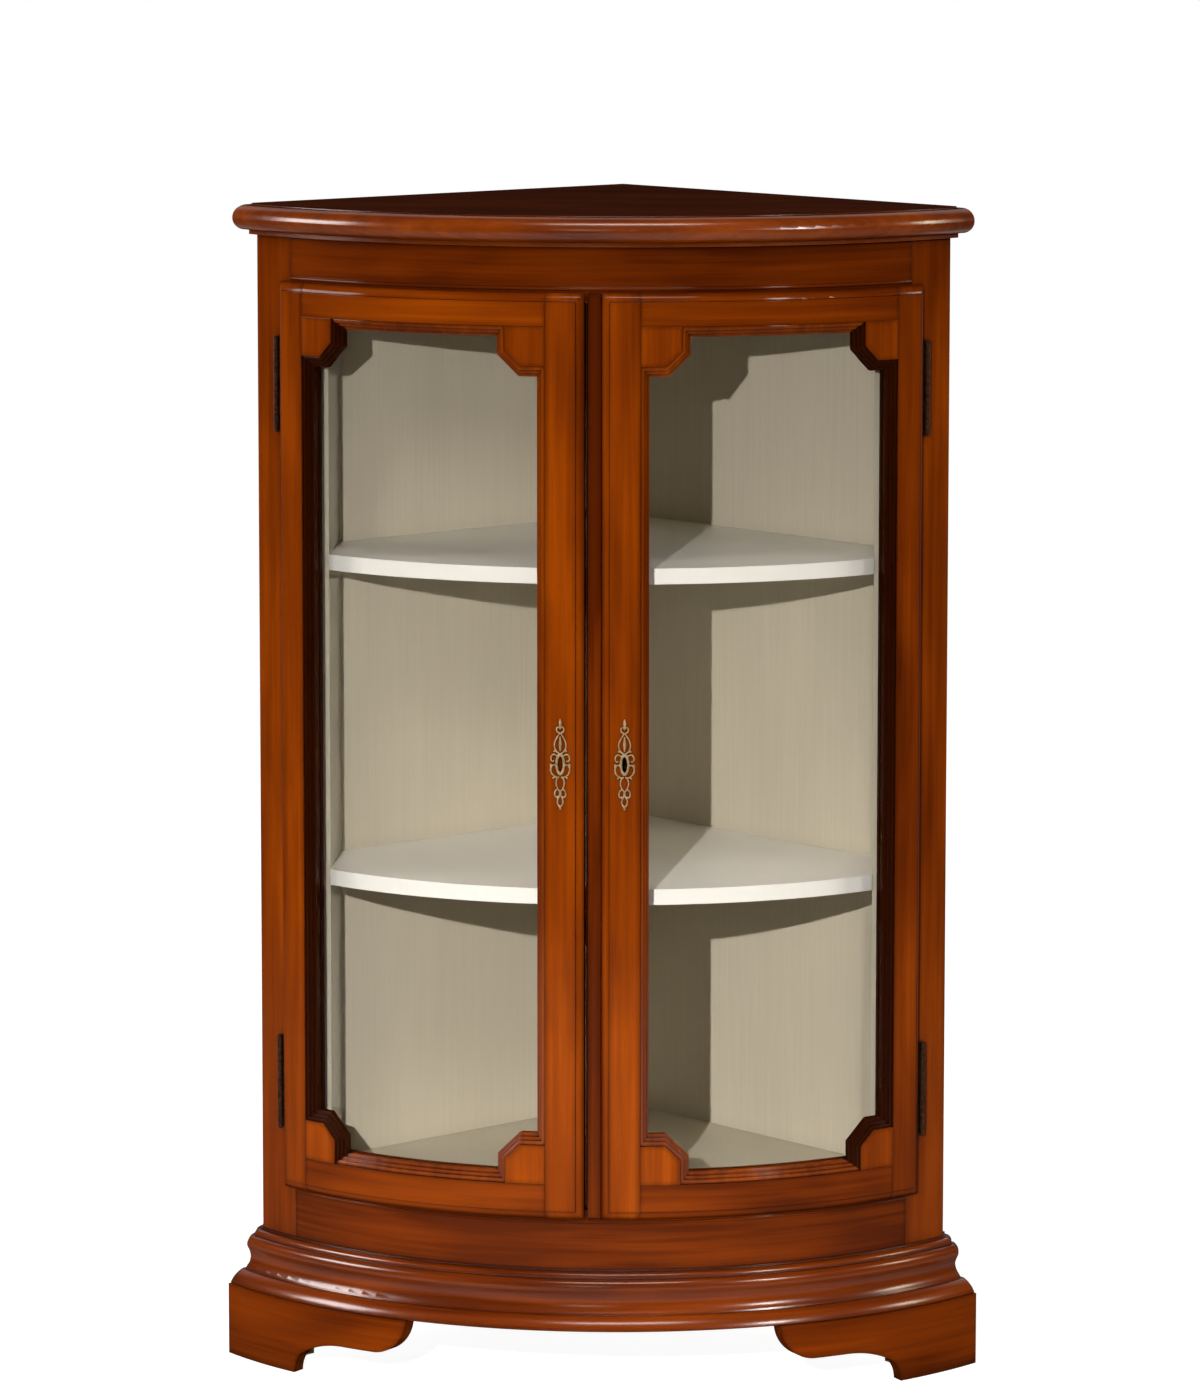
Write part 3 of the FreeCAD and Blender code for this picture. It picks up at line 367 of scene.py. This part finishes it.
def cherry(name, grain, shade=0.0, reach=0.02, shaded_hinge_ends=False, shaded_top=False, polish=1.0,
           coat=1.45, rub=0.10, edges=0.55, worn=0.0012, wave=0.0003):
    """Cherry-stained lacquered wood: soft figure and fine pores under a dark antiquing coat, with
    painted shade in its recesses.

    shade: how much paler the board is than the run of the wood; the darker frieze, sill, bead,
    feet and lower rails are painted shade, and the paler upper rails painted light
    reach: how narrow a recess has to be for the antiquing and the painted shade to lie thick in it
    edges: how thick the dark antiquing is along edges, which in inside corners is painted shade
    shaded_hinge_ends: painted shade, nearly black, from the notches to the hinges of the glazing
    moulding
    shaded_top: painted shade, dark on the face that looks up
    polish, coat, rub: the lacquer's amount, index and roughness
    worn: the radius that edges are worn to
    wave: how far the surface waves in and out
    """
    material, graph = new_material("cherry_" + name)
    board = board_point(graph, grain)
    cloud = graph.noise(stretched(graph, board, 0.24, 0.06, 0.06), 1.0, 2.0, 0.5, 0.3)
    streak = graph.noise(stretched(graph, board, 0.26, 0.008, 0.012), 1.0, 4.0, 0.6, 0.2)
    pore = graph.noise(stretched(graph, board, 0.010, 0.0006, 0.001), 1.0, 2.0, 0.6)
    tone = graph.blend(cloud, 0.6, streak, 0.4)
    tone = graph.math("ADD", tone, shade)
    wood = graph.ramp(tone, CHERRY_TONES)
    wood = graph.mix(graph.remap(pore, 0.58, 0.75, 0, 0.25), wood, CHERRY_PORES)
    # Painted shade along with the real antiquing: the wood darkens in every recess narrower than
    # the reach.
    open_air = graph.hollow(reach)
    glaze_and_painted_shade = graph.remap(open_air, 0.30, 0.95, 0.96, 0.0)
    arris = graph.add("ShaderNodeBevel", samples=4)
    arris.inputs["Radius"].default_value = worn
    border = graph.add("ShaderNodeBevel", samples=4)
    border.inputs["Radius"].default_value = 0.009
    # Dark antiquing along the edges and joints of the board; in inside corners this darkening is
    # painted shade.
    glaze_and_painted_shade = graph.math("MAXIMUM", glaze_and_painted_shade, near_edge(graph, border.outputs[0], 0.76, edges))
    glaze_and_painted_shade = graph.math("MAXIMUM", glaze_and_painted_shade, near_edge(graph, arris.outputs[0], 0.85, edges * 1.6))
    bare = graph.remap(open_air, 0.15, 0.60, 0.0, polish)
    gloss = graph.math("MULTIPLY", lacquer_gloss(graph), bare)
    # Painted shade: the glazing moulding is made nearly black from its notches to the hinge side,
    # where the light does not reach.
    if shaded_hinge_ends:
        x, y, z = object_point(graph)
        angle = graph.math("ABSOLUTE", graph.math("ARCTAN2", x, graph.math("SUBTRACT", BOW_Y, y)))
        from_middle = graph.math("ABSOLUTE", graph.math("SUBTRACT", z, SASH_MIDDLE))
        beyond = graph.math("SUBTRACT", from_middle, SASH_HALF)
        inner, outer = (math.radians(mitre_angle) for mitre_angle in NOTCH_MITRE)
        mitre = graph.remap(beyond, 0.0, MOULDING_WIDTH, inner, outer)
        ends = graph.remap(graph.math("SUBTRACT", angle, mitre), 0.0, 0.003, 0.0, 0.93)
        glaze_and_painted_shade = graph.math("MAXIMUM", glaze_and_painted_shade, ends)
        gloss = graph.math("MULTIPLY", gloss, graph.math("MULTIPLY_ADD", ends, -0.75, 1.0))
    # Painted shade: the face that looks up is darkened, as little light falls on it from above.
    if shaded_top:
        facing = graph.add("ShaderNodeSeparateXYZ")
        graph.link(graph.add("ShaderNodeTexCoord").outputs["Normal"], facing.inputs[0])
        flat = graph.remap(facing.outputs[2], 0.97, 0.995, 0.0, 0.72)
        glaze_and_painted_shade = graph.math("MAXIMUM", glaze_and_painted_shade, flat)
        gloss = graph.math("MULTIPLY", gloss, graph.math("SUBTRACT", 1.0, flat))
    # The dark colour goes on where there is antiquing and painted shade.
    wood = graph.mix(glaze_and_painted_shade, wood, GLAZE_AND_PAINTED_SHADE)
    normal = graph.bump(pore, 0.00003, 0.35, arris.outputs[0])
    normal = graph.bump(cloud, wave, 0.2, normal)
    graph.surface(
        Base_Color=wood, Roughness=0.6, Normal=normal, Specular_IOR_Level=0.0, Coat_Weight=gloss,
        Coat_Roughness=rub, Coat_IOR=coat, Coat_Normal=normal)
    return material


def paint(name, colour, roughness, contrast, bare=None):
    """Brushed paint over upright boards: faint streaks that run up and down, with painted shade in
    the corners.

    Where bare is given, it says which face of the board was left as plain wood: "outside" for the
    outer face of a back panel, "underside" for the face that looks down.
    """
    material, graph = new_material(name)
    x, y, z = object_point(graph)
    across = graph.math("ADD", x, graph.math("MULTIPLY", y, 0.37))
    parts = (z, across, y)
    streak = graph.noise(stretched(graph, parts, 0.14, 0.0016, 0.02), 1.0, 3.0, 0.6)
    patch = graph.noise(stretched(graph, parts, 0.30, 0.07, 0.09), 1.0, 2.0)
    tone = graph.blend(streak, 0.5, patch, 0.5)
    dark = tuple(value * (1 - contrast) for value in colour)
    light = tuple(min(value * (1 + contrast * 0.6), 0.92) for value in colour)
    body = graph.ramp(tone, [(0.35, dark), (0.65, light)])
    # Painted shade: the paint darkens in corners and recesses.
    corner_shade = graph.remap(graph.hollow(0.02), 0.2, 0.9, 0.3, 0.0)
    body = graph.mix(corner_shade, body, tuple(value * 0.5 for value in colour) + (1,))
    if bare == "outside":
        inside = graph.math("SUBTRACT", WALL_APEX, graph.math("ADD", y, graph.math("ABSOLUTE", x)))
        body = graph.mix(graph.math("LESS_THAN", inside, BACK_BOARD * math.sqrt(0.5)),
                         body, plain_wood(graph, parts))
    elif bare == "underside":
        facing = graph.add("ShaderNodeSeparateXYZ")
        graph.link(graph.add("ShaderNodeTexCoord").outputs["Normal"], facing.inputs[0])
        body = graph.mix(graph.math("LESS_THAN", facing.outputs[2], -0.5),
                         body, plain_wood(graph, (x, y, z)))
    graph.surface(Base_Color=body, Roughness=roughness, Normal=graph.bump(streak, 0.00003, 0.5),
                  Specular_IOR_Level=0.25)
    return material


def plain_wood(graph, board):
    """The colour of pale unfinished wood."""
    streak = graph.noise(stretched(graph, board, 0.30, 0.006, 0.010), 1.0, 5.0, 0.6, 0.4)
    cloud = graph.noise(stretched(graph, board, 0.20, 0.06, 0.06), 1.0, 2.0)
    pore = graph.noise(stretched(graph, board, 0.010, 0.0007, 0.001), 1.0, 2.0)
    wood = graph.ramp(graph.blend(streak, 0.65, cloud, 0.35), PALE_TONES)
    return graph.mix(graph.remap(pore, 0.6, 0.8, 0, 0.3), wood, PALE_PORES)


def raw_wood(grain):
    """Pale unfinished wood of the hidden parts."""
    material, graph = new_material("secondary_wood_" + grain)
    wood = plain_wood(graph, board_point(graph, grain))
    graph.surface(Base_Color=wood, Roughness=0.62, Specular_IOR_Level=0.3)
    return material


def brass(name, low, high, deep):
    """Antique brass: worn pale on what stands out, dark in what lies deep."""
    material, graph = new_material(name)
    spot = graph.noise(stretched(graph, object_point(graph), 0.004, 0.004, 0.004), 1.0, 3.0, 0.6)
    metal = graph.ramp(spot, [(0.35, low), (0.65, high)])
    recess = graph.remap(graph.hollow(0.0030), 0.30, 0.95, 0.95, 0.0)
    metal = graph.mix(recess, metal, deep + (1,))
    graph.surface(Base_Color=metal, Metallic=0.6, Roughness=graph.remap(spot, 0.3, 0.7, 0.5, 0.32),
                  Normal=graph.bump(spot, 0.0001, 0.4))
    return material


def glass():
    """Thin clear glass: it mirrors by its angle and lets the rest of the light through."""
    material, graph = new_material("clear_glass")
    fresnel = graph.add("ShaderNodeFresnel")
    fresnel.inputs["IOR"].default_value = 1.45
    ripple = graph.noise(stretched(graph, object_point(graph), 0.15, 0.15, 0.3), 1.0, 1.0)
    graph.surface(Base_Color=(0.93, 0.96, 0.95, 1), Metallic=1.0, Roughness=0.02,
                  Alpha=graph.math("MULTIPLY", fresnel.outputs[0], 0.3),
                  Normal=graph.bump(ripple, 0.0005, 0.2))
    return material


# The finish of each cherry piece, by the end of its name. The first that fits is taken.
CHERRY_KINDS = [
    ("stile", "upright"), ("top_board", "top"), ("corner_blocks", "block"),
    ("frieze_rail", "frieze"), ("left_bottom_rail", "low_rail"), ("right_bottom_rail", "low_rail"),
    ("bottom_rail", "sill"), ("meeting_bead", "bead"), ("foot", "foot"),
    ("base_moulding", "base"), ("glazing_moulding", "moulding"), ("glazing_beads", "moulding"),
    ("top_rail", "high_rail")]

# The pieces with a paint of their own. The other painted ones have the plain one, "".
PAINTED_KINDS = {
    "left_back_panel": "outside", "right_back_panel": "outside", "left_side_lining": "lining",
    "right_side_lining": "lining", "floor_board": "underside"}


def cherry_kind(name):
    """The finish of the node with this name."""
    return next(kind for ending, kind in CHERRY_KINDS if name.endswith(ending))


def finish_nodes():
    """Gives every CAD node its finish, with the grain the way its board runs."""
    # The shade given to each board is partly painted light: the frieze under the top, the recessed
    # sill and bead, the feet and the lower rails are darkened, and the upper rails lightened.
    cherries = {
        "upright": cherry("upright", "upright", 0.02),
        "high_rail": cherry("high_rail", "bowed", 0.06),
        "low_rail": cherry("low_rail", "bowed", -0.06),
        "top": cherry("top", "level", 0.03, shaded_top=True, polish=2.0, coat=1.8, rub=0.22,
                      edges=0.2, wave=0.0001),
        "block": cherry("block", "upright", 0.06),
        "frieze": cherry("frieze", "bowed", -0.13),
        "sill": cherry("sill", "bowed", -0.15),
        "bead": cherry("bead", "upright", -0.18),
        "foot": cherry("foot", "bowed", -0.06, polish=0.35),
        "base": cherry("base", "bowed", -0.06, reach=0.012, polish=2.0, coat=1.8, rub=0.20,
                       edges=0.65, wave=0.00003),
        "moulding": cherry("moulding", "upright", 0.04, reach=0.006, shaded_hinge_ends=True, polish=2.0,
                           coat=1.7, rub=0.12, edges=0.0, worn=0.002)}
    raw = {grain: raw_wood(grain) for grain in ("upright", "bowed")}
    painted = {"": paint("painted_interior", GREIGE, 0.40, 0.07),
               "lining": paint("painted_lining", GREIGE, 0.16, 0.07),
               "outside": paint("painted_back_panel", GREIGE, 0.40, 0.07, "outside"),
               "underside": paint("painted_floor", GREIGE, 0.40, 0.07, "underside")}
    others = {"painted_shelf": paint("painted_shelf", SHELF_WHITE, 0.35, 0.03),
              "brass": METALS["lock"], "glass": glass()}
    for name, item in NODES.items():
        slot = item.data.materials[0].name.split(".")[0]
        if slot == "cherry":
            material = cherries[cherry_kind(name)]
        elif slot == "secondary_wood":
            material = raw["bowed" if name == "foot_glue_blocks" else "upright"]
        elif slot == "painted_interior":
            material = painted[PAINTED_KINDS.get(name, "")]
        elif "hinge" in name:
            material = METALS["hinge"]
        else:
            material = others[slot]
        item.data.materials.clear()
        item.data.materials.append(material)


# ---------------------------------------------------------------- small pieces of metal

def bow_place(angle, across, radius, height):
    """A point in the bow frame turned by an angle in degrees, positive to the right."""
    a = math.radians(angle)
    return Vector((radius * math.sin(a) + across * math.cos(a),
                   BOW_Y - radius * math.cos(a) + across * math.sin(a), height))


def bow_axes(angle):
    """Across, up and out of the front, in the bow frame turned by an angle in degrees."""
    a = math.radians(angle)
    return Vector((math.cos(a), math.sin(a), 0)), UP, Vector((math.sin(a), -math.cos(a), 0))


def add_piece(name, bm, body, material):
    """Makes a metal object of the mesh and lets it ride on a body."""
    mesh = bpy.data.meshes.new(name)
    bmesh.ops.recalc_face_normals(bm, faces=bm.faces)
    bm.to_mesh(mesh)
    bm.free()
    mesh.materials.append(material)
    piece = bpy.data.objects.new(name, mesh)
    bpy.context.scene.collection.objects.link(piece)
    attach(piece, body)
    return piece


def smooth_path(points, steps=5):
    """A Catmull-Rom curve through the points."""
    path = []
    ends = [points[0]] + list(points) + [points[-1]]
    for before, start, end, after in zip(ends, ends[1:], ends[2:], ends[3:]):
        for step in range(steps):
            t = step / steps
            path.append(0.5 * (2 * start + (end - before) * t
                               + (2 * before - 5 * start + 4 * end - after) * t ** 2
                               + (3 * start - before - 3 * end + after) * t ** 3))
    return path + [points[-1]]


def skin(bm, rings):
    """Joins rings of vertices into a tube with closed ends."""
    for near, far in zip(rings, rings[1:]):
        for index in range(len(near)):
            after = (index + 1) % len(near)
            bm.faces.new((near[index], near[after], far[after], far[index]))
    bm.faces.new(rings[0][::-1])
    bm.faces.new(rings[-1])


def add_rod(bm, path, thick, sides=8):
    """A closed tube along a path in the XY plane, with its own thickness at every point."""
    rings = []
    for index, point in enumerate(path):
        ahead = path[min(index + 1, len(path) - 1)] - path[max(index - 1, 0)]
        side = Vector((ahead.y, -ahead.x, 0)).normalized()
        ring = []
        for corner in range(sides):
            turn = 2 * math.pi * corner / sides
            offset = side * math.cos(turn) + UP * math.sin(turn)
            ring.append(bm.verts.new(point + offset * thick[index]))
        rings.append(ring)
    skin(bm, rings)


# Half of the cast keyhole plate, in millimetres from the middle of the keyhole: the points of each
# scroll (across, up) and its thickness at its start, middle and end.
SCROLLS = [
    ([(0.6, 10.8), (3.6, 12.8), (5.7, 17.0), (5.4, 22.5), (2.6, 28.0), (0.3, 31.5)],
     (0.9, 0.8, 0.7)),
    ([(0.0, 13.0), (0.0, 18.0), (0.0, 23.0), (0.0, 28.5)], (0.7, 1.7, 0.6)),
    ([(3.2, 8.6), (6.6, 10.2), (9.0, 8.0), (9.3, 4.6), (7.6, 2.6), (6.3, 4.0)], (0.8, 0.8, 0.7)),
    ([(4.3, -1.2), (7.4, -0.6), (9.5, -4.0), (9.0, -8.6), (6.0, -12.2), (2.4, -13.4)],
     (0.7, 0.9, 0.8)),
    ([(9.5, -3.4), (9.8, -0.8), (8.7, 0.3)], (0.8, 0.8, 1.1)),
    ([(0.3, 31.5), (3.1, 33.2), (3.6, 36.2), (1.8, 38.0)], (0.8, 0.7, 0.9)),
    ([(0.0, 35.5), (0.0, 39.5), (0.0, 43.0), (0.0, 46.2)], (1.0, 1.7, 0.5)),
    ([(1.0, -12.4), (3.6, -15.6), (4.0, -20.0), (2.6, -24.6), (0.4, -27.4)], (0.9, 0.8, 0.8)),
    ([(2.2, -24.5), (4.9, -27.2), (5.6, -31.0), (3.8, -33.6), (2.3, -32.2)], (0.8, 0.8, 0.8)),
    ([(0.4, -27.4), (0.7, -32.0), (2.6, -36.0), (2.5, -40.0), (0.3, -43.6)], (0.9, 0.8, 0.9)),
    ([(0.0, -41.5), (0.0, -44.4), (0.0, -46.2)], (0.8, 1.4, 0.5)),
    ([(5.0, 12.6), (6.6, 13.8)], (0.9, 1.0, 1.1)),
    ([(5.6, -13.0), (7.6, -14.2)], (0.9, 1.0, 1.1)),
]


def add_keyhole_rim(bm, hole, rim, low, high, parts=48):
    """A raised oval collar round the keyhole: hole and rim are its half width and half height."""
    rings = []
    for (half_width, half_height), height in ((hole, low), (rim, low), (rim, high), (hole, high)):
        ring = []
        for part in range(parts):
            turn = 2 * math.pi * part / parts
            ring.append(bm.verts.new((
                half_width * math.cos(turn), half_height * math.sin(turn), height)))
        rings.append(ring)
    for near, far in zip(rings, rings[1:] + rings[:1]):
        for part in range(parts):
            after = (part + 1) % parts
            bm.faces.new((near[part], near[after], far[after], far[part]))


def cast_plate_mesh():
    """The keyhole plate as one casting: scrolls, leaves and collar melted into each other."""
    mm = 0.001
    bm = bmesh.new()
    for points, thick in SCROLLS:
        for mirror in (-1, 1):
            if mirror < 0 and not any(across for across, up in points):
                continue
            path = smooth_path([Vector((across * mirror * mm, up * mm, 0.55 * mm))
                                for across, up in points])
            start, middle, end = thick
            last = len(path) - 1
            sizes = []
            for index in range(len(path)):
                t = 2 * index / last
                size = start + (middle - start) * t if t < 1 else middle + (end - middle) * (t - 1)
                sizes.append(size * mm)
            add_rod(bm, path, sizes)
    add_keyhole_rim(bm, (2.5 * mm, 7.9 * mm), (5.0 * mm, 11.4 * mm), 0.0, 0.9 * mm)
    add_keyhole_rim(bm, (3.4 * mm, 9.2 * mm), (4.7 * mm, 10.9 * mm), 0.0, 1.7 * mm)
    bmesh.ops.recalc_face_normals(bm, faces=bm.faces)
    rough = bpy.data.meshes.new("cast_plate_rough")
    bm.to_mesh(rough)
    bm.free()
    blank = bpy.data.objects.new("cast_plate_blank", rough)
    bpy.context.scene.collection.objects.link(blank)
    melt = blank.modifiers.new("melt", "REMESH")
    melt.mode = "VOXEL"
    melt.voxel_size = 0.00034
    soften = blank.modifiers.new("soften", "SMOOTH")
    soften.factor = 0.5
    soften.iterations = 3
    thin = blank.modifiers.new("thin", "DECIMATE")
    thin.ratio = 0.35
    cast = bpy.data.meshes.new_from_object(
        blank.evaluated_get(bpy.context.evaluated_depsgraph_get()))
    bpy.data.objects.remove(blank)
    bpy.data.meshes.remove(rough)
    return cast


def keyhole_plates():
    """A cast plate on each meeting stile, where the pierced plates of the frame are."""
    cast = cast_plate_mesh()
    angle = math.degrees(KEYHOLE_ACROSS / DOOR_FACE)
    for side, sign in (("left", -1), ("right", 1)):
        across, up, out = bow_axes(angle * sign)
        axes = Matrix((across, up, out)).transposed().to_4x4()
        bm = bmesh.new()
        bm.from_mesh(cast)
        place = Matrix.Translation(bow_place(angle * sign, 0, PLATE_BED, LOCK_HEIGHT))
        bmesh.ops.transform(bm, matrix=place @ axes, verts=bm.verts)
        for face in bm.faces:
            face.smooth = True
        plate = add_piece(side + "_keyhole_plate", bm, side + "_door", METALS["plate"])
        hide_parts(side + "_escutcheon")
    bpy.data.meshes.remove(cast)


def add_screw(bm, place, normal, slot_way, radius=0.0022, proud=0.0003):
    """A countersunk screw head: two halves of a low dome, with the slot and its bed between."""
    across = slot_way.cross(normal).normalized()
    slot_share, bed_share = 0.16, 0.97
    half_steps, bed_steps = 12, 16
    for half in (-1, 1):
        rings = []
        for share, height in ((1.0, -0.4), (1.0, 0.35), (0.8, 0.85), (0.45, 1.0)):
            ring = []
            for step in range(half_steps + 1):
                turn = math.pi * step / half_steps
                shift = max(math.sin(turn) * share, slot_share) * radius * half
                along = math.cos(turn) * math.sqrt(1 - (slot_share / share) ** 2) * radius * share
                ring.append(bm.verts.new(
                    place + across * shift + slot_way * along + normal * (height * proud)))
            rings.append(ring)
        skin(bm, rings)
    bed = []
    for height in (-0.4, 0.15):
        ring = []
        for step in range(bed_steps):
            turn = 2 * math.pi * step / bed_steps
            offset = (across * math.cos(turn) + slot_way * math.sin(turn)) * radius * bed_share
            ring.append(bm.verts.new(place + offset + normal * (height * proud)))
        bed.append(ring)
    skin(bm, bed)


def screw_row(name, body, angle, spots, normal, metal="lock", **size):
    """Screws at (across, radius, height) spots of a turned bow frame, each with its own turn."""
    bm = bmesh.new()
    for index, (across, radius, height) in enumerate(spots):
        side = normal.cross(UP).normalized()
        turn = 0.5 + 1.3 * index
        slot_way = side * math.cos(turn) + UP * math.sin(turn)
        add_screw(bm, bow_place(angle, across, radius, height), normal, slot_way, **size)
    add_piece(name, bm, body, METALS[metal])


def hinge_screws(side, sign):
    """Three screws in each leaf, into the case and into the door."""
    angle = HINGE_ANGLE * sign
    across = bow_axes(angle)[0]
    heights = [centre + step for centre in HINGE_HEIGHTS for step in (-0.034, 0.0, 0.034)]
    for part, body, edge, way in (("frame", "case", FRAME_EDGE, -sign),
                                  ("door", side + "_door", DOOR_EDGE, sign)):
        from_pins = -math.radians(HINGE_ANGLE - edge) * BOW_RADIUS * sign
        spots = [(from_pins, HINGE_RADIUS, height) for height in heights]
        screw_row(side + "_hinge_" + part + "_screws", body, angle, spots, across * way, "hinge")


def back_panel_screws(side, sign):
    """Rows of screws from behind, into the sub-top, the shelves and the floor."""
    wall = Vector((sign, 1, 0)).normalized()
    along = Vector((sign, -1, 0)).normalized()
    board_heights, reaches = (0.184, 0.508, 0.835, 1.161), (0.05, 0.18, 0.31, 0.44)
    bm = bmesh.new()
    for height in board_heights:
        for step, reach in enumerate(reaches):
            turn = 0.7 * step + height * 5
            slot_way = along * math.cos(turn) + UP * math.sin(turn)
            add_screw(bm, Vector((0, WALL_APEX, height)) + along * reach, wall, slot_way,
                      radius=0.0034, proud=0.0002)
    add_piece(side + "_back_panel_screws", bm, "case", METALS["screw"])


def lock_and_bolt_screws():
    """The screws of the lock, its strike plate and the two bolts, on the doors' inner side."""
    lock_back, strike_back, bolt_back = 0.430, 0.4435, 0.438
    inward = -bow_axes(0)[2]
    spots = [(across, lock_back, LOCK_HEIGHT + up)
             for across in (0.000, 0.041) for up in (-0.022, 0.022)]
    screw_row("lock_screws", "right_door", 0, spots, inward)
    spots = [(-0.0095, strike_back, LOCK_HEIGHT + up) for up in (-0.013, 0.013)]
    screw_row("strike_screws", "left_door", MEETING_ANGLE, spots, -bow_axes(MEETING_ANGLE)[2])
    for name, low, high in (("upper", 1.068, 1.090), ("lower", 0.216, 0.238)):
        spots = [(across, bolt_back, height)
                 for across in (-0.0258, -0.0142) for height in (low, high)]
        screw_row(name + "_bolt_screws", "left_door", 0, spots, inward, radius=0.0015)


bpy.context.scene.view_settings.view_transform = "Standard"

# Each metal's tarnished and bright tones, and what lies in its recesses.
METALS = {
    "plate": brass("antique_brass", (0.46, 0.32, 0.15), (0.84, 0.65, 0.38), (0.06, 0.030, 0.008)),
    "lock": brass("lock_brass", (0.40, 0.27, 0.12), (0.60, 0.44, 0.22), (0.05, 0.025, 0.008)),
    "hinge": brass("dark_brass", (0.030, 0.010, 0.005), (0.110, 0.045, 0.022),
                   (0.010, 0.004, 0.002)),
    "screw": brass("steel_screw", (0.30, 0.29, 0.27), (0.50, 0.49, 0.46), (0.04, 0.04, 0.04))}
make_camera()
make_light()
make_floor()
finish_nodes()
keyhole_plates()
for door, turn_way in (("left", -1), ("right", 1)):
    hinge_screws(door, turn_way)
    back_panel_screws(door, turn_way)
lock_and_bolt_screws()
